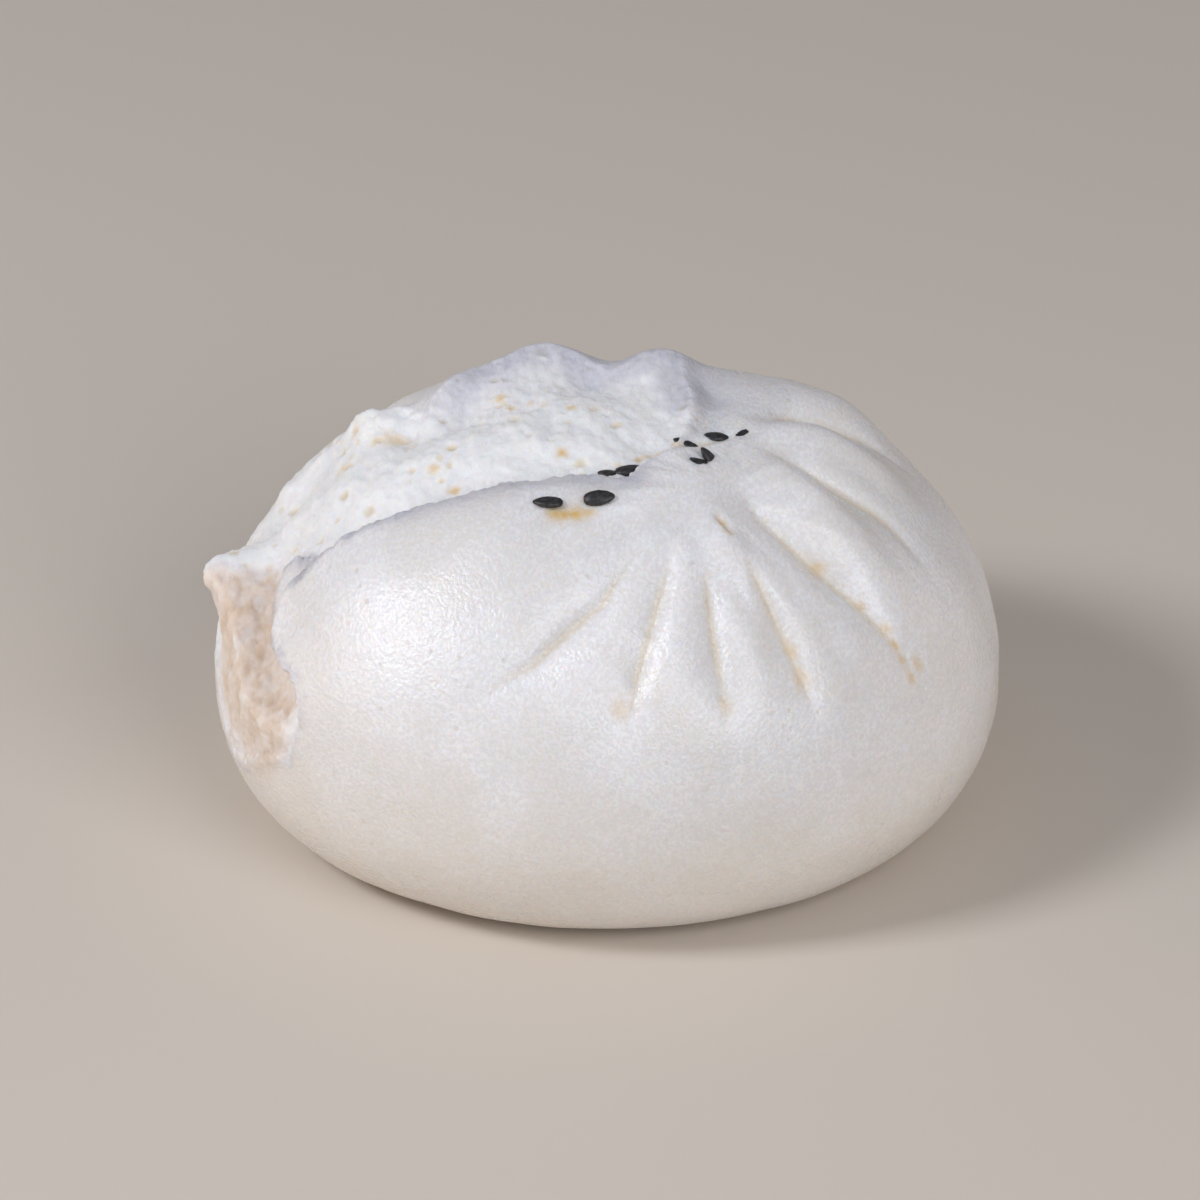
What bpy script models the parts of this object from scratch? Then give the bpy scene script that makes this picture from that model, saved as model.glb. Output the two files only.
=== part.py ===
"""A steamed char siu bun: one solid of dough, flat where it stood on the steamer's floor.

The dough was drawn up into pleats round a knot, and it burst open along the top while it steamed.
Every feature is placed on a map of the crust, in degrees: a point's distance from the map's middle
is its angle down from straight up, seen from the middle of the belly, and its direction is its
bearing seen from above, with +X to the right and the back of the bun at +Y.
"""

import math

import bmesh
import bpy
from mathutils import Vector, noise

MM = 0.001

# Driving dimensions of the plain dome, before it is pleated and torn.
HALF_WIDTH = 44.3 * MM
HALF_DEPTH = 41.5 * MM
HEIGHT = 48.3 * MM
BELLY_HEIGHT = 15.0 * MM  # the widest level, and the centre that every angle is measured from
UNDERSIDE_REACH = 24.0 * MM  # how far the belly would curve down if the base weren't flat
ROUNDNESS = 2.15  # exponent of the dome's section: 2 is an ellipse
BASE_ROUNDING = 14.0  # exponent of the blend from belly to flat base: higher is sharper
BASE_TRIM = 0.35 * MM  # shaved off below the blend, so that the base is truly flat

# The mesh is a cube's grid blown up into a ball.
CELLS_PER_SIDE = 30
CROWN_CROWDING = 0.28  # how far its rings are gathered towards the crown
SNAP_SHARE = 0.48  # a grid point within this share of a cell of a crease or torn edge moves onto it
MAP_RIM = 104.0  # degrees down, below which there are no features

# Creases, followed down from the knot: their line on the map, the width in degrees of the bank to
# the left and to the right of the way down, the depth, and the share of the length where it peaks.
PLEATS = (
    (((9, -35), (-1, -50), (-14, -59), (-28, -63)), 9.0, 6.0, 1.7 * MM, 0.45),
    (((13, -34), (10, -48), (6, -62), (2, -76)), 5.0, 9.0, 2.0 * MM, 0.6),
    (((17, -36), (20, -52), (25, -70)), 5.5, 7.0, 1.5 * MM, 0.6),
    (((21, -34), (32, -47), (44, -63)), 5.0, 9.0, 2.0 * MM, 0.55),
    (((21, -17), (29, -27), (40, -32), (50, -36), (68, -43)), 5.5, 10.0, 2.8 * MM, 0.5),
    (((25, -8), (35, -9), (44, -11), (52, -13), (66, -21)), 5.5, 10.0, 1.9 * MM, 0.45),
)
SEAM_CREASES = (
    (((26, -2), (35, 8), (48, 12), (62, 13)), 7.0, 7.0, 1.3 * MM, 0.4),
    (((15, 25), (21, 10), (19, -3), (12, -13)), 8.0, 6.0, 1.5 * MM, 0.45),
)
BACK_FOLDS = (
    (((17, 24), (24, 40), (32, 62)), 8.0, 8.0, 1.2 * MM, 0.45),
    (((3, 24), (2, 44), (-4, 70)), 10.0, 8.0, 2.3 * MM, 0.35),
    (((34, 18), (50, 40), (58, 56)), 9.0, 9.0, 1.5 * MM, 0.4),
    (((-39, 4), (-38, 14), (-44, 28), (-60, 66)), 5.5, 7.0, 3.4 * MM, 0.35),
    (((-22, 28), (-26, 46), (-36, 68)), 8.0, 9.0, 1.6 * MM, 0.4),
)
CREASES = PLEATS + SEAM_CREASES + BACK_FOLDS

# Crests pinched up between the pleats: line on the map, half width in degrees and height.
CRESTS = (
    (((14, -30), (15, -42), (11, -56), (6, -72)), 5.0, 0.8 * MM),
    (((16, -22), (21, -36), (28, -42), (35, -48), (44, -55)), 5.0, 1.3 * MM),
    (((23, -12), (34, -16), (42, -23), (50, -29), (60, -35)), 7.5, 1.2 * MM),
    (((-10, -31), (5, -29), (16, -21), (28, -8)), 6.0, 0.9 * MM),
    (((26, -4), (38, 1), (50, 1), (66, -6)), 7.0, 1.2 * MM),
)

# The burst's torn edge, once round: place on the map, the step down to the crumb inside it, and
# how far the crust outside it flares up.
TORN_EDGE = (
    ((-60, -24), 2.4 * MM, 0.9 * MM),
    ((-48, -22), 2.6 * MM, 0.2 * MM),
    ((-30, -23), 2.6 * MM, -0.5 * MM),
    ((-10, -22.5), 2.4 * MM, -0.8 * MM),
    ((5, -22), 2.0 * MM, -0.6 * MM),
    ((11, -14), 1.6 * MM, 0.0 * MM),
    ((15, -5), 1.2 * MM, 0.1 * MM),
    ((16, 9), 0.6 * MM, 0.3 * MM),
    ((13, 24), 0.3 * MM, 0.5 * MM),
    ((2, 22), 0.3 * MM, 0.3 * MM),
    ((-11, 29), 0.3 * MM, 0.5 * MM),
    ((-25, 24), 0.4 * MM, 0.5 * MM),
    ((-35, 9), 1.0 * MM, 0.1 * MM),
    ((-41, 18), 0.4 * MM, 0.8 * MM),
    ((-52, 20), 0.6 * MM, 0.6 * MM),
    ((-64, 17), 1.6 * MM, -0.2 * MM),
    ((-71, 8), 2.4 * MM, -0.3 * MM),
    ((-73, -1), 2.8 * MM, 5.2 * MM),
    ((-73, -11), 2.6 * MM, 2.0 * MM),
    ((-77, -24), 2.2 * MM, 0.9 * MM),
    ((-75, -38), 1.6 * MM, 0.6 * MM),
    ((-60, -54), 0.6 * MM, 0.2 * MM),
    ((-62, -42), 2.0 * MM, 0.9 * MM),
    ((-65, -31), 2.6 * MM, 1.3 * MM),
)
STEP_WIDTH = 3.2  # degrees over which the torn edge drops to the crumb
CORNER_BLEND = 1.0  # square degrees: within about its root of a corner, that corner's step rules
FLARE_WIDTH = 8.0  # degrees of crust outside the torn edge that flare

# Swellings of the crust: place on the map, radius in degrees and height.
SWELLINGS = (
    ((-12, 27), 9.0, 2.3 * MM),
    ((10, 25), 7.0, 2.2 * MM),
    ((-3, 21), 4.5, -1.3 * MM),
    ((-28, 20), 7.0, 1.4 * MM),
    ((-42, 16), 5.0, 3.8 * MM),
    ((-58, 8), 8.0, -0.8 * MM),
    ((-36, -45), 24.0, 2.0 * MM),
    ((-22, -35), 12.0, 1.1 * MM),
    ((-44, -33), 10.0, 0.7 * MM),
    ((47, -18), 10.0, 0.5 * MM),
    ((14, -64), 20.0, 0.6 * MM),
    ((41, 22), 11.0, 2.2 * MM),
    ((23, 26), 6.0, 0.4 * MM),
    ((-63, -18), 5.5, 1.0 * MM),
    ((-66, 12), 6.0, -1.8 * MM),
    ((-52, 18), 7.0, -0.9 * MM),
    ((70, 0), 10.0, -0.7 * MM),
)

# Slow waver of hand-shaped dough, then the crumb's lumps: height and size.
WAVER = (0.7 * MM, 20.0 * MM)
BIG_LUMPS = (0.8 * MM, 9.0 * MM)
SMALL_LUMPS = (0.5 * MM, 4.5 * MM)

DOUGH_COLOUR = (0.86, 0.84, 0.80, 1.0)
DOUGH_ROUGHNESS = 0.55


def smooth(value, low, high):
    """0 at low and below, 1 at high and above, with an even S between."""
    share = min(1.0, max(0.0, (value - low) / (high - low)))
    return share * share * (3 - 2 * share)


def nearest_on(path, place):
    """The nearest point of a bent line to a place: the gap, negative to the line's right, the point,
    and how far along the line it is, in spans."""
    best = (math.inf, Vector(path[0]), 0.0)
    for span, (start, end) in enumerate(zip(path, path[1:])):
        start, run = Vector(start), Vector(end) - Vector(start)
        share = min(1.0, max(0.0, (place - start).dot(run) / run.length_squared))
        point = start + run * share
        away = place - point
        if away.length < abs(best[0]):
            to_left = run.x * away.y - run.y * away.x >= 0
            best = (away.length if to_left else -away.length, point, span + share)
    return best


TORN_OUTLINE = [corner for corner, _, _ in TORN_EDGE] + [TORN_EDGE[0][0]]


def inside_burst(place):
    """Whether a place lies inside the torn edge: a line drawn from it to the right crosses it oddly."""
    crossings = 0
    for (ax, ay), (bx, by) in zip(TORN_OUTLINE, TORN_OUTLINE[1:]):
        if (ay > place.y) != (by > place.y):
            if place.x < ax + (bx - ax) * (place.y - ay) / (by - ay):
                crossings += 1
    return crossings % 2 == 1


def crumb_recess(place):
    """How far the crumb lies below the dome: the steps of the torn edge, the nearer the more."""
    total = weights = 0.0
    for corner, step, _ in TORN_EDGE:
        weight = 1 / ((place - Vector(corner)).length_squared + CORNER_BLEND)
        total += weight * step
        weights += weight
    return total / weights


def burst_offset(place, snapped):
    """How far the burst moves the surface, and 1 for crumb, 0 for crust."""
    gap, _, along = nearest_on(TORN_OUTLINE, place)
    gap = abs(gap)
    here = int(along) % len(TORN_EDGE)
    there = (here + 1) % len(TORN_EDGE)
    share = along - int(along)
    flare = TORN_EDGE[here][2] * (1 - share) + TORN_EDGE[there][2] * share
    if snapped or not inside_burst(place):
        return flare * max(0.0, 1 - gap / FLARE_WIDTH) ** 2, 0.0
    crumb = smooth(gap, 0.0, STEP_WIDTH)
    return flare * (1 - crumb) - crumb_recess(place) * crumb, crumb


def crease_depth(place):
    """How far the deepest crease near a place sinks it."""
    deepest = 0.0
    for path, left_bank, right_bank, depth, peak in CREASES:
        gap, _, along = nearest_on(path, place)
        off = gap / left_bank if gap > 0 else -gap / right_bank
        if off < 1:
            share = along / (len(path) - 1)
            strength = smooth(share, 0.0, peak) * (1 - smooth(share, peak, 1.0))
            deepest = max(deepest, depth * strength * (1 - off) ** 2)
    return deepest


def crest_height(place):
    """How far the crests near a place lift it."""
    height = 0.0
    for path, half_width, rise in CRESTS:
        gap, _, along = nearest_on(path, place)
        off = abs(gap) / half_width
        if off < 1:
            share = along / (len(path) - 1)
            strength = smooth(share, 0.0, 0.3) * (1 - smooth(share, 0.5, 1.0))
            height = max(height, rise * strength * (1 - off * off) ** 2)
    return height


def crust_offset(place, snapped, on_dome):
    """How far the surface stands off the plain dome at this place on the map."""
    offset, crumb = burst_offset(place, snapped)
    offset += crest_height(place) - crease_depth(place)
    for centre, radius, height in SWELLINGS:
        offset += height * math.exp(-(((place - Vector(centre)).length / radius) ** 2))
    for amount, (height, size) in ((1.0, WAVER), (crumb, BIG_LUMPS), (crumb, SMALL_LUMPS)):
        if amount:
            offset += amount * height * noise.noise(on_dome / size)
    return offset * (1 - smooth(place.length, MAP_RIM - 20, MAP_RIM))


def dome_distance(ray):
    """How far the plain dome lies from the belly's centre along a ray."""
    reach_up = HEIGHT - BELLY_HEIGHT if ray.z > 0 else UNDERSIDE_REACH
    level = math.hypot(ray.x / HALF_WIDTH, ray.y / HALF_DEPTH)
    return (level**ROUNDNESS + abs(ray.z / reach_up) ** ROUNDNESS) ** (-1 / ROUNDNESS)


def onto_nearest_line(place, reach):
    """A place moved onto a line that is within reach, and that line: the torn edge, a crease or none."""
    for line in (TORN_OUTLINE, *(path for path, *_ in CREASES)):
        gap, point, _ = nearest_on(line, place)
        if abs(gap) < reach:
            return point, line
    return place, None


def bun_point(grid_direction):
    """Where a point of the ball comes to lie on the bun, and the line it was moved onto, if any."""
    down = math.acos(max(-1.0, min(1.0, grid_direction.z))) / math.pi
    polar = math.degrees(math.pi * (down + CROWN_CROWDING * (down * down - down)))
    cell = 90 / CELLS_PER_SIDE * (1 + CROWN_CROWDING * (2 * down - 1))
    flat = Vector((grid_direction.x, grid_direction.y))
    place = flat.normalized() * polar if flat.length > 0 else Vector((0.0, 0.0))
    line = None
    if polar < MAP_RIM:
        place, line = onto_nearest_line(place, SNAP_SHARE * cell)
    drop = math.radians(place.length)
    across = place.normalized() * math.sin(drop)
    ray = Vector((across.x, across.y, math.cos(drop)))
    distance = dome_distance(ray)
    distance += crust_offset(place, line is TORN_OUTLINE, ray * distance)
    if ray.z < 0:
        to_base = -(BELLY_HEIGHT + BASE_TRIM) / ray.z
        distance = (distance**-BASE_ROUNDING + to_base**-BASE_ROUNDING) ** (-1 / BASE_ROUNDING)
    point = ray * distance + Vector((0, 0, BELLY_HEIGHT))
    point.z = max(0.0, point.z)
    return point, line


def ball_direction(corner):
    """A point of the cube's grid, spread so that its cells come out near equal on the ball."""
    return Vector([math.tan(value * math.pi / 4) for value in corner]).normalized()


def split_along_line(face, lines):
    """Cuts a four-sided face in two along the diagonal that runs on a crease or on the torn edge."""
    corners = face.verts[:]
    for first, second in ((corners[0], corners[2]), (corners[1], corners[3])):
        if lines[first] is not None and lines[first] is lines[second]:
            bmesh.utils.face_split(face, first, second)
            return


def bun_mesh():
    """The bun's closed surface, standing on the origin with its box centred there."""
    grid = bmesh.new()
    bmesh.ops.create_cube(grid, size=2.0)
    bmesh.ops.subdivide_edges(grid, edges=grid.edges[:], cuts=CELLS_PER_SIDE - 1, use_grid_fill=True)
    lines = {}
    for vertex in grid.verts:
        vertex.co, lines[vertex] = bun_point(ball_direction(vertex.co))
    for face in grid.faces[:]:
        split_along_line(face, lines)
    corners = [vertex.co for vertex in grid.verts]
    middle = [(min(axis) + max(axis)) / 2 for axis in zip(*corners)]
    bmesh.ops.translate(grid, verts=grid.verts[:], vec=(-middle[0], -middle[1], 0.0))
    bmesh.ops.recalc_face_normals(grid, faces=grid.faces[:])
    mesh = bpy.data.meshes.new("bun")
    grid.to_mesh(mesh)
    grid.free()
    mesh.shade_smooth()
    return mesh


def dough_material():
    material = bpy.data.materials.new("steamed_dough")
    material.use_nodes = True
    shader = material.node_tree.nodes["Principled BSDF"]
    shader.inputs["Base Color"].default_value = DOUGH_COLOUR
    shader.inputs["Roughness"].default_value = DOUGH_ROUGHNESS
    shader.inputs["Metallic"].default_value = 0.0
    return material


def main():
    for leftover in list(bpy.data.objects):
        bpy.data.objects.remove(leftover, do_unlink=True)
    bun = bpy.data.objects.new("bun", bun_mesh())
    bun.data.materials.append(dough_material())
    bpy.context.scene.collection.objects.link(bun)


main()
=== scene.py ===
import math

import bpy
import numpy as np
from mathutils import Matrix, Vector, noise
from mathutils.bvhtree import BVHTree
from mathutils.kdtree import KDTree


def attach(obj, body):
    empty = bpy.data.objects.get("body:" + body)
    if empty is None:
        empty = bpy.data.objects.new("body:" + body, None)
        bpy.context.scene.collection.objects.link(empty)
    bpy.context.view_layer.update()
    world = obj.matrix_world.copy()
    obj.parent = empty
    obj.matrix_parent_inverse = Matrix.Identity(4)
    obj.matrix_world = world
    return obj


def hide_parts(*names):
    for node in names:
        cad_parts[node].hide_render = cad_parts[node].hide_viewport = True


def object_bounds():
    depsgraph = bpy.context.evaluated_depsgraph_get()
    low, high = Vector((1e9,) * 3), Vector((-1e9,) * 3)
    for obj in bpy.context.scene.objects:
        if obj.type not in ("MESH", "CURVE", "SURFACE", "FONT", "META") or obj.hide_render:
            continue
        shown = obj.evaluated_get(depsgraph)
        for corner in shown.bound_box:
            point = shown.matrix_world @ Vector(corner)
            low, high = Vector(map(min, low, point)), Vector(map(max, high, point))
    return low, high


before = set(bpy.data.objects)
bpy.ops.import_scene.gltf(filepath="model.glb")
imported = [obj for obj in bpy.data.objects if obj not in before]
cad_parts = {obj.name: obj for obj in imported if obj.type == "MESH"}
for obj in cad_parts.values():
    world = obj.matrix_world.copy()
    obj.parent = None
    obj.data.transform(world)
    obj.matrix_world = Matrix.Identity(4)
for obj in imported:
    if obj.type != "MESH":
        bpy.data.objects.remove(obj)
solid_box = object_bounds()

# ---------------------------------------------------------------------------------------------
# The dough. A ball of white leavened dough is drawn up round its filling into pleats, and
# steamed. It swells until the top bursts, so that a thin satin crust, torn along its edge,
# stands round the fluffy crumb. Crust and crumb are made apart and grown together.

MM = 0.001
BELLY = Vector((0.75, 0.08, 15.0)) * MM  # the middle of the belly, from which bearings are taken
DEGREE = 0.65 * MM  # one degree of the map, measured along the crust

CRUST_THICKNESS = 1.5 * MM
EDGE_THINNING = 0.35  # what is left of the crust's thickness at its torn edge
THINNING_WIDTH = 4  # degrees over which the crust thins towards that edge
CRUMB_BELOW_CRUST = 1.2 * MM
CRUMB_COMES_UP = (4, 16)  # degrees in from the edge between which the crumb comes back up
SAME_CORNER = 0.001 * MM  # corners nearer than this are one
DOUGH_CELL = 0.3 * MM  # the finest shape that the grown-together dough keeps
MOST_TRIANGLES = 190000

# The torn edge once round, in degrees down from straight up, to the right and to the back, and
# how cleanly the crust stands off the crumb there: 1 is a bare lip, 0 runs together with it.
TORN_EDGE = (
    (-60, -12, 0.8), (-57, -18, 0.9), (-57, -23, 1.0), (-48, -22, 1.0), (-38, -22, 1.0),
    (-28, -21, 0.9), (-10, -20, 0.8), (3, -21, 0.5),
    (11, -14, 0.3), (15, -5, 0.3), (16, 9, 0.3), (13, 24, 0.1), (2, 22, 0.1), (-11, 29, 0.1),
    (-25, 24, 0.1), (-35, 11, 0.4), (-42, 24, 0.1), (-54, 29, 0.1), (-68, 24, 0.2), (-79, 15, 0.2),
    (-86, 5, 0.2), (-87, -8, 0.2), (-91, -18, 0.3), (-89, -31, 0.4), (-80, -41, 0.4),
    (-69, -50, 0.4), (-61, -47, 0.4),
    (-62, -40, 0.6), (-66, -31, 1.0), (-70, -22, 0.9), (-69, -14, 0.9), (-65, -11, 0.8),
)
TORN_OUTLINE = [corner[:2] for corner in TORN_EDGE]
LIPS = np.array([corner[2] for corner in TORN_EDGE])
RAGGED_BAND = 8  # degrees on either side of that outline that are made ragged
# How ragged it is: size in mm, reach in degrees and which noise.
RAGGEDNESS = ((4.0, 1.2, 1), (1.4, 0.9, 3), (0.7, 0.5, 10))
# Where skin turns to crumb, in degrees in from the edge beside a bare lip, and how much further out
# and in the blend reaches where the two run together.
BLEND_STARTS = -0.2
BLEND_ENDS = 0.8
SOFT_BLEND = (2.5, 2.0)

# The fine line at the bottom of each crease: where it runs, its half width and depth in mm.
CREASES = (
    (((9, -35), (-1, -50), (-14, -59), (-30, -64)), 0.7, 0.4),
    (((13, -34), (10, -48), (6, -62), (2, -76)), 0.8, 0.35),
    (((17, -36), (20, -52), (25, -70)), 0.8, 0.3),
    (((21, -34), (32, -47), (44, -63)), 0.8, 0.4),
    (((21, -17), (29, -27), (40, -32), (50, -36), (68, -43)), 1.0, 0.5),
    (((25, -8), (35, -9), (44, -11), (52, -13), (66, -21)), 0.9, 0.35),
    (((26, -2), (35, 8), (48, 12), (62, 13)), 1.0, 0.4),
    (((19, -29), (21.5, -32), (23, -34.5)), 0.6, 0.5),
    (((0, -18.5), (6, -16), (15, -10.5), (22, -6.5), (31, -2.5)), 0.6, 0.6),
    (((17, 24), (24, 40), (32, 62)), 0.9, 0.4),
    (((3, 24), (2, 44), (-4, 70)), 1.0, 0.5),
    (((34, 18), (50, 40), (58, 56)), 0.8, 0.3),
    (((-38, 15), (-44, 28), (-60, 66)), 1.0, 0.6),
    (((-22, 28), (-26, 46), (-36, 68)), 0.9, 0.4),
)
CREASE_DEEPENS = (0.05, 0.35)  # the share of its run over which a crease deepens
CREASE_FADES = (0.6, 1.0)  # and over which it fades out
# Where the filling's fat has come through as faint tan spots, and two larger spots of painted shade
# in the notch by the left crumb lobe, at (-41, 9.5) and (-39, 5): place, size in degrees, strength.
STAINS_AND_NOTCH_SHADE = (
    (-9.5, -32.0, 1.2, 1.0), (-7.5, -32.4, 1.5, 1.0), (-5.5, -32.4, 1.5, 1.0),
    (-3.5, -32.3, 1.3, 0.7), (6.5, -13, 1.0, 0.6), (8, -12, 1.0, 0.7), (10.5, -11.5, 1.0, 0.8),
    (13, -10.5, 0.9, 0.6), (21, -32, 0.9, 0.4), (22, -34, 0.8, 0.4), (41, -32, 1.0, 0.5),
    (49.5, -35, 0.9, 0.45), (54.5, -36.5, 1.1, 0.5), (57, -38, 0.9, 0.6), (59, -39.5, 1.0, 0.5),
    (62, -38, 1.1, 0.6), (61.5, -41, 1.0, 0.5), (35.5, -51, 1.3, 0.35), (38, -55, 1.8, 0.35),
    (23.5, -64, 1.4, 0.3), (2.5, -67, 1.6, 0.35), (-41, 9.5, 2.2, 0.55), (-39, 5, 1.6, 0.35),
    (-21, 13.5, 1.1, 0.8), (-19, 9, 0.9, 0.6), (-7, 5, 1.0, 0.7), (-9, -10.5, 1.2, 0.9),
    (-31, -15, 1.1, 0.8), (-34, -8, 1.1, 0.7), (-51, 6.5, 1.5, 0.5),
)
STAIN_EDGE = 0.9 * MM  # the size of the wavers round a stain

# Lumps of the crumb, strings of the side tear and tatters of the torn edge: height and size in
# mm, and which noise.
CRUMB_LUMPS = ((0.30, 6.0, 5), (0.27, 2.6, 6), (0.20, 1.4, 7), (0.18, 0.8, 8), (0.12, 0.45, 9))
STRINGS = ((0.5, 2.6, 19), (0.22, 1.1, 17), (0.08, 0.5, 18))
FRAY = ((0.30, 1.1, 20), (0.22, 0.55, 21))
FRAY_WIDTH = 2.0  # degrees
BACKWARD_GRAIN = (1, 0.55, 1)  # how far points are squeezed, across, back and up
UPRIGHT_GRAIN = (1, 1, 0.3)
PITS = 90
PIT_RADII = (0.45, 1.0)  # mm, least and most, before the small ones are made smaller still
PIT_DEPTH = 0.3 * MM
PIT_EDGE = 0.7 * MM  # the size of the wavers round a pit
SIDE_TEAR = ((-76, -11), (-80, -22), (-74, -38))  # the strip of stringy dough down the left side
SIDE_TEAR_FADES = (6, 13)  # degrees from its middle to where it starts to fade and where it ends
SIDE_TEAR_STARTS = (-8, 1)  # degrees in from the torn edge over which it sets in
SIDE_TEAR_STREAKS = ((0.35, 1.8, 22), (0.2, 0.8, 23))  # strength, size in mm, and which noise

KNOT = (20, -26)  # where the pleats are gathered, on the map
# The gathers that run out from the knot: height in mm, how much finer than the widest, and which
# noise; then how many lumps of it there are to a radian round the knot, how long one is, and where
# the gathers rise, where they are full and where they end, in degrees out from the knot.
GATHERS = ((0.42, 1.0, 13), (0.2, 2.3, 14))
GATHERS_ROUND = 3
GATHERS_LENGTH = 18
GATHERS_RISE = (4, 12)
GATHERS_FULL = 20
GATHERS_END = 50
GATHERS_BACK = 5  # how far back on the map they go
SKIN_WAVE_HEIGHT = 0.12 * MM
SKIN_WAVE_SIZE = 6 * MM

# Painted shade along the torn edge of the crust, a grey band where the edge turns up and away
# from the light: how far out from the edge it is greyest, how fast it fades inwards and outwards,
# and how much wider it is where the front of the lip rolls over, all in degrees.
RIM_MIDDLE = 0.7
RIM_INWARDS = 1.2
RIM_OUTWARDS = 1.4
ROLLED_LIP = 3.2
# Where across the map the lip starts to roll over, where it stops, and where its painted shade widens.
ROLL_STARTS = (-64, -50)
ROLL_STOPS = (5, 14)
ROLL_WIDENS = (-58, -15)
# Painted shade at the back right, a grey stretch: where it starts, across and back, and how far
# it reaches over crumb and crust.
BACK_SHADE_ACROSS = (-38, -24)
BACK_SHADE_BACKWARD = (0, 8)
BACK_SHADE_OVER_CRUMB = 5.5
BACK_SHADE_OVER_CRUST = 8.0


def only(piece):
    """Selects one piece alone and makes it the active one."""
    bpy.ops.object.select_all(action="DESELECT")
    piece.select_set(True)
    bpy.context.view_layer.objects.active = piece


def apply_modifier(piece, kind, **settings):
    only(piece)
    modifier = piece.modifiers.new(kind.lower(), kind)
    for name, value in settings.items():
        setattr(modifier, name, value)
    bpy.ops.object.modifier_apply(modifier=modifier.name)


def points_of(piece):
    flat = np.empty(len(piece.data.vertices) * 3)
    piece.data.vertices.foreach_get("co", flat)
    return flat.reshape(-1, 3)


def normals_of(piece):
    flat = np.empty(len(piece.data.vertices) * 3)
    piece.data.vertex_normals.foreach_get("vector", flat)
    return flat.reshape(-1, 3)


def put_points(piece, points):
    piece.data.vertices.foreach_set("co", points.ravel())
    piece.data.update()


def bearings(points):
    """Where points lie on the map of the crust, in degrees."""
    out = points - np.array(BELLY)
    across = np.hypot(out[:, 0], out[:, 1])
    down = np.degrees(np.arctan2(across, out[:, 2]))
    return out[:, :2] / np.maximum(across, 1e-9)[:, None] * down[:, None]


def waver(points, size, seed):
    """Smooth noise from about -1 to 1 whose lumps are of this size."""
    shift = Vector((seed * 17.3, seed * 5.1, seed * 9.7))
    return np.array([noise.noise(Vector(point) / size + shift) for point in points])


def smooth(value, low, high):
    """0 at low and below, 1 at high and above, with an easy rise between."""
    share = np.clip((value - low) / (high - low), 0, 1)
    return share * share * (3 - 2 * share)


def hump(gap, width):
    """1 where there is no gap, falling away to both sides over this width."""
    return np.exp(-((gap / width) ** 2))


def gap_to(path, spots):
    """How far spots on the map are from a bent line, and how far along it they are, 0 to 1."""
    path = np.array(path, float)
    best = np.full(len(spots), 1e9)
    along = np.zeros(len(spots))
    lengths = np.hypot(*np.diff(path, axis=0).T)
    starts = np.concatenate(([0], np.cumsum(lengths)))
    for start, end, length, passed in zip(path, path[1:], lengths, starts):
        share = np.clip((spots - start) @ (end - start) / length**2, 0, 1)
        gap = np.linalg.norm(spots - start - share[:, None] * (end - start), axis=1)
        nearer = gap < best
        best[nearer] = gap[nearer]
        along[nearer] = (passed + share[nearer] * length) / starts[-1]
    return best, along


def inside_burst(spots):
    """True where the torn edge goes round a spot."""
    outline = np.array(TORN_OUTLINE, float)
    crossings = np.zeros(len(spots), int)
    for (ax, ay), (bx, by) in zip(outline, np.roll(outline, -1, axis=0)):
        if ay != by:
            passes = (ay > spots[:, 1]) != (by > spots[:, 1])
            crossings += passes & (spots[:, 0] < ax + (bx - ax) * (spots[:, 1] - ay) / (by - ay))
    return crossings % 2 == 1


def burst(points):
    """Degrees from the ragged torn edge, positive over the crumb and negative over the crust, and
    how cleanly the nearest edge stands off."""
    spots = bearings(points)
    ring = TORN_OUTLINE + TORN_OUTLINE[:1]
    near = np.abs(gap_to(ring, spots)[0]) < RAGGED_BAND
    for size, reach, seed in RAGGEDNESS:
        ragged = [waver(points[near], size * MM, seed + turn) for turn in (0, 1)]
        spots[near] += np.column_stack(ragged) * reach
    gap, along = gap_to(ring, spots)
    places = np.hypot(*np.diff(np.array(ring, float), axis=0).T).cumsum()
    lip = np.interp(along, np.concatenate(([0], places)) / places[-1], np.append(LIPS, LIPS[0]))
    return np.where(inside_burst(spots), gap, -gap), lip


def crumb_share(points):
    """0 on the skin and 1 on torn crumb, with a wider blend where the two run together."""
    inward, lip = burst(points)
    soft_out, soft_in = np.outer(SOFT_BLEND, 1 - lip)
    return smooth(inward, BLEND_STARTS - soft_out, BLEND_ENDS + soft_in)


def pits(points, middles, radii):
    """1 at the middle of the nearest of some pits, falling to 0 at its ragged rim."""
    tree = KDTree(len(middles))
    for number, middle in enumerate(middles):
        tree.insert(middle, number)
    tree.balance()
    found = [tree.find(point) for point in points]
    off = np.array([gap / radii[number] for _, number, gap in found])
    off += 0.35 * waver(points, PIT_EDGE, 12)
    return 1 - smooth(off, 0.0, 1.25)


def drawn_out(points):
    """Points squeezed front to back, so that lumps read there are longer that way, as dough tears."""
    return points * np.array(BACKWARD_GRAIN)


def side_strip(spots):
    """1 in the middle of the stringy tear down the left side, 0 beyond it."""
    gap, _ = gap_to(SIDE_TEAR, spots)
    return 1 - smooth(gap, *SIDE_TEAR_FADES)


def along_side(points):
    """Points squeezed up and down, so that noise read there is drawn out into upright strings."""
    return points * np.array(UPRIGHT_GRAIN)


def crease_lines(spots, crumbly):
    """Each crease's fine line over the skin, 0 to 1, and its depth."""
    for path, width, depth in CREASES:
        gap, along = gap_to(path, spots)
        strength = smooth(along, *CREASE_DEEPENS) * (1 - smooth(along, *CREASE_FADES))
        yield strength * hump(gap * DEGREE / MM, width) * (1 - crumbly), depth * MM


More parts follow.
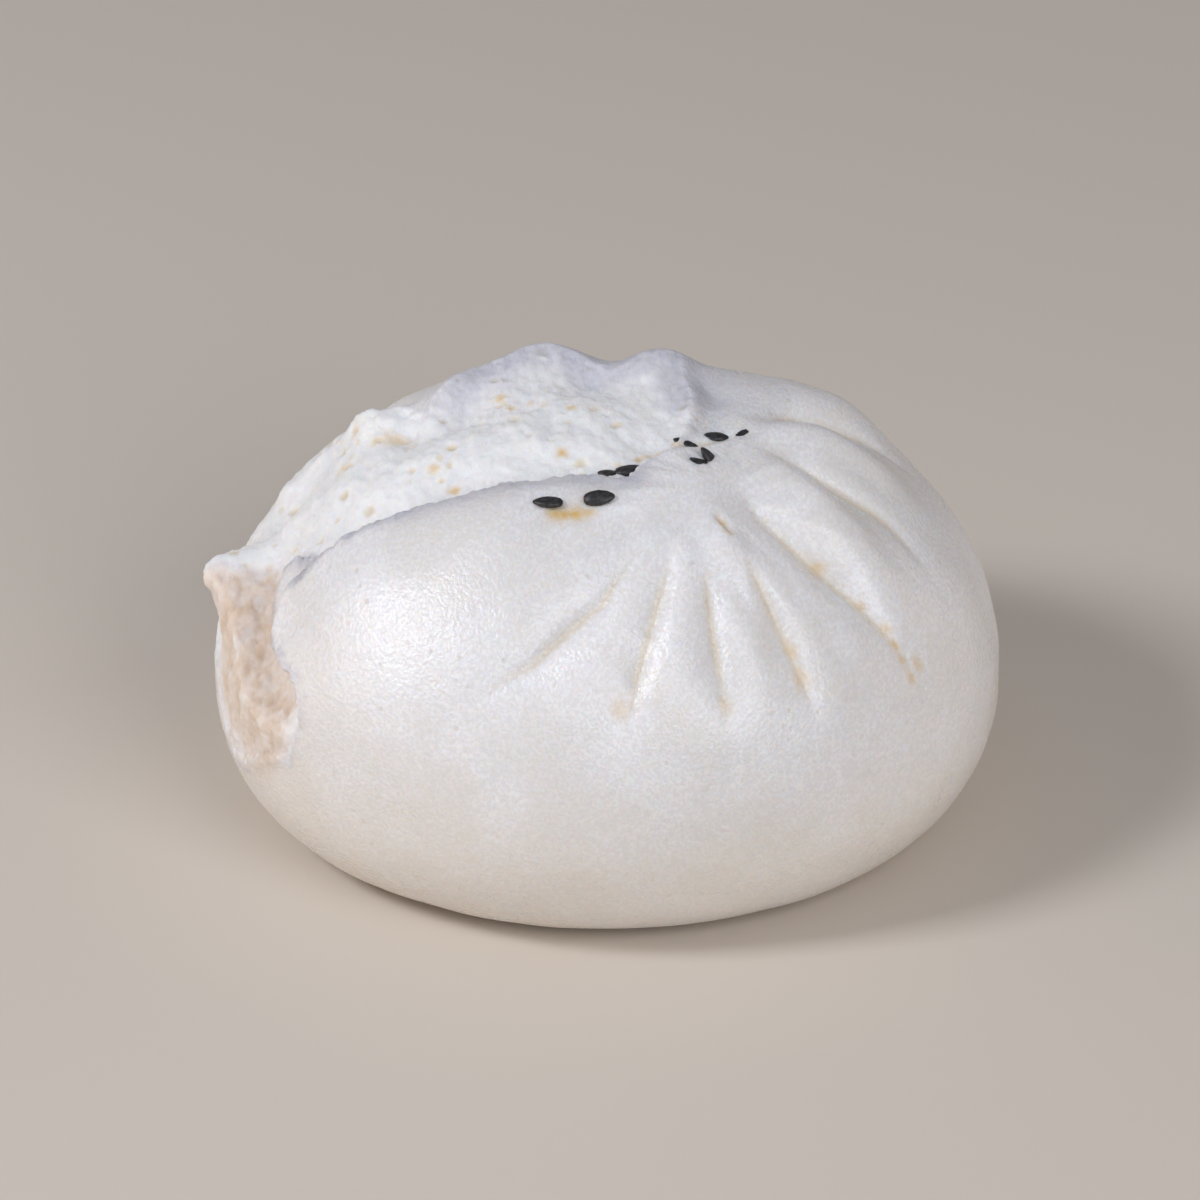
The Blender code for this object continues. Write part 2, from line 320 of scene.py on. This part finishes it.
# The whole lump of dough, as smooth as the crust.
dough_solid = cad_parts["bun"]
crumb = dough_solid.copy()
crumb.data = dough_solid.data.copy()
crumb.parent = None
crumb.matrix_world = Matrix.Identity(4)
crumb.name = "steamed_bun"
bpy.context.scene.collection.objects.link(crumb)
crumb.data.materials.clear()
only(crumb)
bpy.ops.object.mode_set(mode="EDIT")
bpy.ops.mesh.select_all(action="SELECT")
bpy.ops.mesh.remove_doubles(threshold=SAME_CORNER)
bpy.ops.mesh.tris_convert_to_quads()
bpy.ops.mesh.select_all(action="DESELECT")
bpy.ops.object.mode_set(mode="OBJECT")
apply_modifier(crumb, "SUBSURF", levels=2, render_levels=2)

# The crust: the outside of that lump less the burst, and thinner towards the torn edge.
crust = crumb.copy()
crust.data = crumb.data.copy()
crust.name = "crust"
bpy.context.scene.collection.objects.link(crust)
centres = np.empty(len(crust.data.polygons) * 3)
crust.data.polygons.foreach_get("center", centres)
over_crumb = burst(centres.reshape(-1, 3))[0] > 0
crust.data.polygons.foreach_set("select", over_crumb)
only(crust)
bpy.ops.object.mode_set(mode="EDIT")
bpy.ops.mesh.select_mode(type="FACE")
bpy.ops.mesh.delete(type="FACE")
bpy.ops.object.mode_set(mode="OBJECT")
thick = crust.vertex_groups.new(name="thick")
for number, share in enumerate(smooth(-burst(points_of(crust))[0], 0, THINNING_WIDTH)):
    thick.add([number], float(share), "REPLACE")
apply_modifier(crust, "SOLIDIFY", thickness=CRUST_THICKNESS, offset=-1.0, vertex_group="thick",
               thickness_vertex_group=EDGE_THINNING)

# The crumb: the same lump, sunk below the crust and beside each clean lip.
points = points_of(crumb)
normals = normals_of(crumb)
inward, lip = burst(points)
beside_lip = (0.1 + 0.9 * lip) * (1 - 0.9 * smooth(inward, *CRUMB_COMES_UP))
sunk = CRUMB_BELOW_CRUST * np.where(inward > 0, beside_lip, 1)
points -= normals * sunk[:, None]
put_points(crumb, points)

only(crumb)
crust.select_set(True)
bpy.ops.object.join()
bun = crumb
apply_modifier(bun, "REMESH", mode="VOXEL", voxel_size=DOUGH_CELL, adaptivity=0.0)
apply_modifier(bun, "SMOOTH", factor=0.5, iterations=2)

# The torn crumb: slow rolls, soft tatters, and pits where bubbles of steam were.
points = points_of(bun)
normals = normals_of(bun)
crumbly = crumb_share(points)
shows = crumbly > 0
torn = points[shows]
dice = np.random.default_rng(5)
middles = torn[dice.integers(0, len(torn), PITS)]
radii = dice.uniform(*PIT_RADII, PITS) ** 1.4 * MM
swell = np.zeros(len(torn))
for height, size, seed in CRUMB_LUMPS:
    swell += height * MM * waver(drawn_out(torn), size * MM, seed)
strings = np.zeros(len(torn))
for height, size, seed in STRINGS:
    strings += height * MM * waver(along_side(torn), size * MM, seed)
stringy = side_strip(bearings(torn))
swell = swell * (1 - 0.3 * stringy) + strings * stringy
swell -= PIT_DEPTH * pits(torn, middles, radii) * (1 - 0.8 * stringy)
points[shows] += normals[shows] * (swell * crumbly[shows])[:, None]

# The torn edge of the crust, frayed where it stands off.
inward, lip = burst(points)
edge = lip * hump(inward, FRAY_WIDTH)
frayed = edge > 0.02
fray = np.zeros(len(points))
for height, size, seed in FRAY:
    fray[frayed] += height * MM * waver(points[frayed], size * MM, seed)
points += normals * (fray * edge)[:, None]

# The skin: the line at the bottom of each crease, gathers round the knot, and slow waves.
spots = bearings(points)
for line, depth in crease_lines(spots, crumbly):
    points -= normals * (depth * line)[:, None]
from_knot = spots - np.array(KNOT)
reach = np.hypot(*from_knot.T)
near = (reach < GATHERS_END) & (crumbly < 1) & (spots[:, 1] < GATHERS_BACK)
turn = np.arctan2(from_knot[near, 1], from_knot[near, 0])
ring = np.array([np.cos(turn), np.sin(turn)]) * GATHERS_ROUND
around = np.column_stack([*ring, reach[near] / GATHERS_LENGTH])
gathers = sum(height * waver(around * finer, 1.0, seed) for height, finer, seed in GATHERS)
gathers *= smooth(reach[near], *GATHERS_RISE)
gathers *= 1 - smooth(reach[near], GATHERS_FULL, GATHERS_END)
points[near] += normals[near] * (gathers * (1 - crumbly[near]) * MM)[:, None]
waves = SKIN_WAVE_HEIGHT * waver(points, SKIN_WAVE_SIZE, 15)
points += normals * (waves * (1 - crumbly))[:, None]
put_points(bun, points)
share_kept = MOST_TRIANGLES / (2.0 * len(bun.data.polygons))
apply_modifier(bun, "DECIMATE", decimate_type="COLLAPSE", ratio=share_kept)
only(bun)
bpy.ops.object.shade_smooth()

# What colours the dough from place to place, kept in the mesh for the material to read.
points = points_of(bun)
spots = bearings(points)
crumbly = crumb_share(points)
inward, lip = burst(points)
strip = side_strip(spots)
pit = np.where(crumbly > 0, pits(points, middles, radii), 0) * (1 - 0.8 * strip)
# Where the creases run; the colour gives them a tan that is partly the dough's own and partly painted
# shade.
crease = np.max([line for line, _ in crease_lines(spots, crumbly)], axis=0)
# Tan spots: the fat's stains, and painted shade in the notch by the left crumb lobe.
stain = np.zeros(len(points))
for across, back, size, strength in STAINS_AND_NOTCH_SHADE:
    off = np.hypot(spots[:, 0] - across, spots[:, 1] - back) / size
    near = off < 3
    off[near] += 0.5 * waver(points[near], STAIN_EDGE, 16)
    stain = np.maximum(stain, strength * hump(np.maximum(off, 0), 1))
across, back = spots.T
# Painted shade: a grey band along the torn edge of the crust, wider where the front lip rolls over.
rolled = smooth(across, *ROLL_STARTS) * (1 - smooth(across, *ROLL_STOPS)) * (back < 0)
outwards = RIM_OUTWARDS + ROLLED_LIP * smooth(across, *ROLL_WIDENS) * rolled
off_rim = inward + RIM_MIDDLE
rim = hump(off_rim, np.where(off_rim > 0, RIM_INWARDS, outwards))
rim *= np.maximum(lip, 0.8 * rolled) * (1 - 0.6 * crumbly)
# Painted shade at the back right, added to the grey band of the torn edge.
back_shade = 0.9 * smooth(back, *BACK_SHADE_BACKWARD) * smooth(across, *BACK_SHADE_ACROSS)
back_shade *= hump(inward, np.where(inward > 0, BACK_SHADE_OVER_CRUMB, BACK_SHADE_OVER_CRUST))
rim = np.maximum(rim, back_shade)
# The side tear's peach, streaked: partly the torn dough's own warmer tone, partly painted warm bounce
# light.
(bold, bold_size, bold_seed), (fine, fine_size, fine_seed) = SIDE_TEAR_STREAKS
streaks = 0.7 + bold * waver(along_side(points), bold_size * MM, bold_seed)
streaks += fine * waver(points, fine_size * MM, fine_seed)
strip = np.clip(strip * smooth(inward, *SIDE_TEAR_STARTS) * streaks, 0, 1)
looks = {"crumb": crumbly, "crease": crease, "pit": pit, "stain": stain, "rim": rim, "strip": strip}
for name, values in looks.items():
    layer = bun.data.attributes.new(name, "FLOAT", "POINT")
    layer.data.foreach_set("value", values.astype(np.float32))


class Socket:
    """A shader socket that takes part in sums."""

    tree = None

    def __init__(self, socket):
        self.socket = socket

    @staticmethod
    def sum(operation, first, second):
        return Socket.node("ShaderNodeMath", {"operation": operation}, [first, second])

    @staticmethod
    def node(kind, settings=None, sockets=None, output=0):
        """Adds a node and gives one of its outputs."""
        node = Socket.tree.nodes.new(kind)
        for name, value in (settings or {}).items():
            setattr(node, name, value)
        pairs = sockets.items() if isinstance(sockets, dict) else enumerate(sockets or [])
        for place, value in pairs:
            if isinstance(value, Socket):
                Socket.tree.links.new(value.socket, node.inputs[place])
            else:
                node.inputs[place].default_value = value
        return Socket(node.outputs[output])

    def __add__(self, other):
        return self.sum("ADD", self, other)

    __radd__ = __add__

    def __mul__(self, other):
        return self.sum("MULTIPLY", self, other)

    __rmul__ = __mul__

    def __sub__(self, other):
        return self.sum("SUBTRACT", self, other)

    def __rsub__(self, other):
        return self.sum("SUBTRACT", other, self)

    def between(self, low, high):
        """0 at low and below, 1 at high and above."""
        settings = {"interpolation_type": "SMOOTHSTEP"}
        sockets = {"Value": self, "From Min": low, "From Max": high}
        return Socket.node("ShaderNodeMapRange", settings, sockets)

    def tint(self, plain, coloured):
        """Blends from plain to coloured as this socket goes from 0 to 1."""
        inputs = {0: self, 6: plain, 7: coloured}
        return Socket.node("ShaderNodeMix", {"data_type": "RGBA"}, inputs, 2)

    def drives(self, place):
        """Links this socket to one of the shader's own."""
        Socket.tree.links.new(self.socket, place)


def new_material(name):
    material = bpy.data.materials.new(name)
    material.use_nodes = True
    Socket.tree = material.node_tree
    return material, material.node_tree.nodes["Principled BSDF"]


def mottle(place, scale, detail):
    """Soft noise about 0.5, with this many lumps to the metre."""
    sockets = {"Vector": place, "Scale": scale, "Detail": detail}
    return Socket.node("ShaderNodeTexNoise", None, sockets)


def holes(place, scale, low, high):
    """1 in the middle of each of many round holes, this many to the metre, 0 between them."""
    cells = Socket.node("ShaderNodeTexVoronoi", None, {"Vector": place, "Scale": scale})
    return 1.0 - cells.between(low, high)


SKIN = (0.83, 0.805, 0.78, 1)
SKIN_COOL = (0.865, 0.85, 0.865, 1)
SKIN_GRAIN = (0.97, 0.96, 0.98, 1)
SKIN_SPECK = (0.76, 0.74, 0.70, 1)
PINHOLE = (0.60, 0.52, 0.40, 1)
# Crease bottoms: partly the less bleached dough's own tan, partly painted warm shade.
CREASE = (0.83, 0.70, 0.48, 1)
# Warmer and darker low down: partly the base's own ivory tone, partly painted warm bounce light and
# shade.
LOW_SKIN = (0.86, 0.79, 0.69, 1)
LOW_SKIN_TOP = (8 * MM, 26 * MM)  # the heights between which the low skin's warmer tint fades out
CRUMB = (0.96, 0.95, 0.97, 1)
CRUMB_WARM = (0.95, 0.92, 0.87, 1)
CRUMB_SPECK = (0.80, 0.78, 0.75, 1)
PORE = (0.80, 0.66, 0.42, 1)
PIT = (0.76, 0.64, 0.42, 1)
# The grey of the painted shade along the torn edge and at the back right.
RIM_SHADE = (0.57, 0.57, 0.64, 1)
# Side tear peach: partly the torn dough's own tone, partly painted warm bounce light.
STRINGY_AND_WARM_BOUNCE = (0.71, 0.55, 0.41, 1)
FAT_AND_NOTCH_SHADE = (0.77, 0.52, 0.18, 1)
DOUGH_GLOW = (1.0, 0.85, 0.7)  # how far red, green and blue light travel in the dough
DOUGH_GLOW_DEPTH = 1.5 * MM
GRAIN_DEPTH = 0.5 * MM

dough, shader = new_material("steamed_dough")
place = Socket.node("ShaderNodeTexCoord", output=3)
place = Socket.node("ShaderNodeMapping", None, {"Vector": place, "Scale": (1, 0.6, 1)})
masks = {name: Socket.node("ShaderNodeAttribute", {"attribute_name": name}, output=2) for name in looks}
blotch = mottle(place, 110.0, 4.0)
speckle = mottle(place, 1300.0, 3.0)
grain = mottle(place, 2600.0, 4.0)
pinhole = holes(place, 620.0, 0.10, 0.22) * blotch.between(0.45, 0.65)
pores = holes(place, 420.0, 0.08, 0.26) * blotch.between(0.44, 0.60)
level = Socket.node("ShaderNodeSeparateXYZ", None, {"Vector": place}, 2)
speck = speckle.between(0.5, 0.75) * 0.3
skin = blotch.between(0.3, 0.75).tint(SKIN, SKIN_COOL)
skin = (grain.between(0.4, 0.65) * (0.45 + 0.5 * blotch.between(0.42, 0.58))).tint(skin, SKIN_GRAIN)
skin = speck.tint(skin, SKIN_SPECK)
skin = (pinhole * 0.3).tint(skin, PINHOLE)
# Tan along the crease bottoms, partly the dough's own and partly painted shade.
skin = (masks["crease"] * masks["crease"] * 0.5).tint(skin, CREASE)
# Warmer and darker towards the bottom, partly the base's own tone and partly painted bounce light and
# shade.
skin = (0.5 - level.between(*LOW_SKIN_TOP) * 0.5).tint(skin, LOW_SKIN)
inside = blotch.between(0.45, 0.8).tint(CRUMB, CRUMB_WARM)
inside = speck.tint(inside, CRUMB_SPECK)
inside = (pores * 0.5).tint(inside, PORE)
inside = (masks["pit"] * 0.85).tint(inside, PIT)
colour = masks["crumb"].tint(skin, inside)
# Painted shade: grey along the torn edge of the crust and at the back right.
colour = (masks["rim"] * 0.85).tint(colour, RIM_SHADE)
# Peach of the side tear, partly the dough's own and partly painted warm bounce light.
colour = masks["strip"].tint(colour, STRINGY_AND_WARM_BOUNCE)
# Tan of the fat's stains, and painted shade in the notch by the left crumb lobe.
colour = masks["stain"].tint(colour, FAT_AND_NOTCH_SHADE)
rough = 0.22 + 0.12 * blotch + 0.4 * masks["crumb"]
height = (speckle * 0.4 + grain * 0.6) * (0.7 - 0.2 * masks["crumb"]) - pinhole * 0.2
relief = {"Strength": 0.55, "Distance": GRAIN_DEPTH, "Height": height}
colour.drives(shader.inputs["Base Color"])
rough.drives(shader.inputs["Roughness"])
Socket.node("ShaderNodeBump", None, relief).drives(shader.inputs["Normal"])
shader.inputs["Subsurface Weight"].default_value = 1.0
shader.inputs["Subsurface Radius"].default_value = DOUGH_GLOW
shader.inputs["Subsurface Scale"].default_value = DOUGH_GLOW_DEPTH
shader.inputs["Specular IOR Level"].default_value = 0.7
bun.data.materials.append(dough)

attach(bun, "root")
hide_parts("bun")

# ---------------------------------------------------------------------------------------------
# The black sesame seeds. A pinch of whole black seeds, drop-shaped and slightly flat, lies along
# the seam, where the wet dough caught them.

SEED_LENGTH = 3.4 * MM
SEED_WIDTH = 2.0 * MM
SEED_THICKNESS = 1.0 * MM
POINT_TAPER = 0.45  # how much narrower and thinner a seed is at its point
VARIETY = 0.06  # how much longer or shorter than usual a seed may be
LEVELLING = 0.3  # how much flatter a seed lies than the slope under it
ABOVE_BUN = 80 * MM  # the height from which each seed is let down on to the dough
# Place across and back in mm, bearing of the point, its tilt up and the seed's lean to the back in
# degrees, and how deep it has sunk into the dough in mm.
SEEDS = (
    (-6.5, -18.0, 178, 0, 10, 0.2),
    (-0.8, -17.8, 3, 0, -20, 0.1),
    (0.5, -10.0, 190, 14, 12, 1.1),
    (2.6, -9.5, 10, 4, 10, 0.55),
    (9.6, -9.8, 174, 5, 12, 0.93),
    (11.4, -8.8, 170, 60, 0, 1.5),
    (9.1, -5.2, 188, 10, 15, 1.16),
    (12.3, -3.1, 5, 4, 12, 0.9),
    (14.9, -2.1, 25, 10, 12, 1.2),
)

surface = BVHTree.FromObject(bun, bpy.context.evaluated_depsgraph_get())
seeds = []
for number, (across, back, turn, tilt, lean, sunk) in enumerate(SEEDS):
    # A ball drawn out to a point at one end, in a seed's length, width and thickness.
    bpy.ops.mesh.primitive_uv_sphere_add(segments=14, ring_count=9, radius=0.5)
    seed = bpy.context.object
    shape = points_of(seed)
    taper = 1 - POINT_TAPER * smooth(shape[:, 0], 0.0, 0.5)
    shape[:, 0] = 0.4 * shape[:, 0] + 0.3 * np.sin(shape[:, 0] * math.pi)
    shape[:, 1] *= taper
    shape[:, 2] *= taper
    length = SEED_LENGTH * (1 + VARIETY * math.sin(number * 2.4))
    shape *= np.array([length, SEED_WIDTH, SEED_THICKNESS])
    put_points(seed, shape)
    # Turned and tilted on the dough below it, and sunk in.
    start = Vector((across * MM + BELLY.x, back * MM + BELLY.y, ABOVE_BUN))
    hit, normal, _, _ = surface.ray_cast(start, Vector((0, 0, -1)))
    normal = (normal + Vector((0, 0, LEVELLING))).normalized()
    turned = Vector((0, 0, 1)).rotation_difference(normal).to_matrix().to_4x4()
    turned @= Matrix.Rotation(math.radians(-lean), 4, "X")
    turned @= Matrix.Rotation(math.radians(turn), 4, "Z")
    turned @= Matrix.Rotation(math.radians(-tilt), 4, "Y")
    lift = 0.5 * SEED_THICKNESS - sunk * MM + 0.3 * SEED_LENGTH * math.sin(math.radians(tilt))
    seed.data.transform(Matrix.Translation(hit + normal * lift) @ turned)
    seeds.append(seed)
only(seeds[0])
for seed in seeds:
    seed.select_set(True)
bpy.ops.object.join()
sesame = bpy.context.object
sesame.name = "black_sesame"
bpy.ops.object.shade_smooth()

HULL_DARK = (0.012, 0.012, 0.014, 1)
HULL_WORN = (0.045, 0.042, 0.042, 1)
HULL_GRAIN_DEPTH = 0.1 * MM

hull, shader = new_material("black_sesame")
grain = mottle(Socket.node("ShaderNodeTexCoord", output=3), 2500.0, 3.0)
relief = {"Strength": 0.4, "Distance": HULL_GRAIN_DEPTH, "Height": grain}
grain.between(0.35, 0.7).tint(HULL_DARK, HULL_WORN).drives(shader.inputs["Base Color"])
(0.35 + 0.2 * grain).drives(shader.inputs["Roughness"])
Socket.node("ShaderNodeBump", None, relief).drives(shader.inputs["Normal"])
sesame.data.materials.append(hull)

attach(sesame, "root")

# ---------------------------------------------------------------------------------------------
# The stand: a plain pale floor, soft boxes round the bun with the strongest at the front left,
# and a camera that looks down on it from the front.

FLOOR_SIZE = 4.0
FLOOR_COLOUR = (0.70, 0.63, 0.55, 1)

low, high = solid_box
centre = (low + high) / 2
bpy.ops.mesh.primitive_plane_add(size=FLOOR_SIZE, location=(0, 0, low.z))
floor = bpy.context.object
floor.name = "floor"
pale, shader = new_material("pale_floor")
shader.inputs["Base Color"].default_value = FLOOR_COLOUR
shader.inputs["Roughness"].default_value = 0.7
floor.data.materials.append(pale)

# Each soft box: bearing from the front towards the right and rise in degrees, size in metres,
# power in watts, and colour.
SOFT_BOXES = {
    "key": (-68, 42, 0.22, 3.8, (0.91, 0.935, 1.0)),
    "low left": (-85, 10, 0.4, 1.1, (1.0, 0.80, 0.62)),
    "fill": (30, 32, 0.5, 3.2, (0.95, 0.96, 1.0)),
    "right rim": (110, 8, 0.4, 0.6, (1.0, 0.74, 0.54)),
}
LIGHT_DISTANCE = 0.9
ROOM_COLOUR = (0.93, 0.94, 1.0, 1)
ROOM_STRENGTH = 0.22
# The camera's rise in degrees, its distance, and the width that it takes in there, in metres.
CAMERA_RISE = 28.6
CAMERA_DISTANCE = 1.2
FRAME_WIDTH = 0.135


def towards(bearing, rise):
    """The way from the bun to a place at this bearing from the front and this rise, in degrees."""
    turn, lift = math.radians(bearing), math.radians(rise)
    return Vector((math.sin(turn) * math.cos(lift), -math.cos(turn) * math.cos(lift), math.sin(lift)))


def stand_off(name, data, away, distance):
    """Puts a lamp or camera at this distance from the bun, turned to face it."""
    placed = bpy.data.objects.new(name, data)
    placed.location = centre + away * distance
    placed.rotation_euler = away.to_track_quat("Z", "Y").to_euler()
    bpy.context.scene.collection.objects.link(placed)
    return placed


for name, (bearing, rise, size, power, tone) in SOFT_BOXES.items():
    light = bpy.data.lights.new(name, "AREA")
    light.shape = "SQUARE"
    light.size = size
    light.energy = power
    light.color = tone
    stand_off(name, light, towards(bearing, rise), LIGHT_DISTANCE)
world = bpy.data.worlds.new("room")
world.use_nodes = True
world.node_tree.nodes["Background"].inputs["Color"].default_value = ROOM_COLOUR
world.node_tree.nodes["Background"].inputs["Strength"].default_value = ROOM_STRENGTH
bpy.context.scene.world = world
bpy.context.scene.view_settings.view_transform = "Standard"

lens = bpy.data.cameras.new("camera")
lens.lens = lens.sensor_width * CAMERA_DISTANCE / FRAME_WIDTH
lens.clip_start = 0.05
camera = stand_off("camera", lens, towards(0, CAMERA_RISE), CAMERA_DISTANCE)
bpy.context.scene.camera = camera
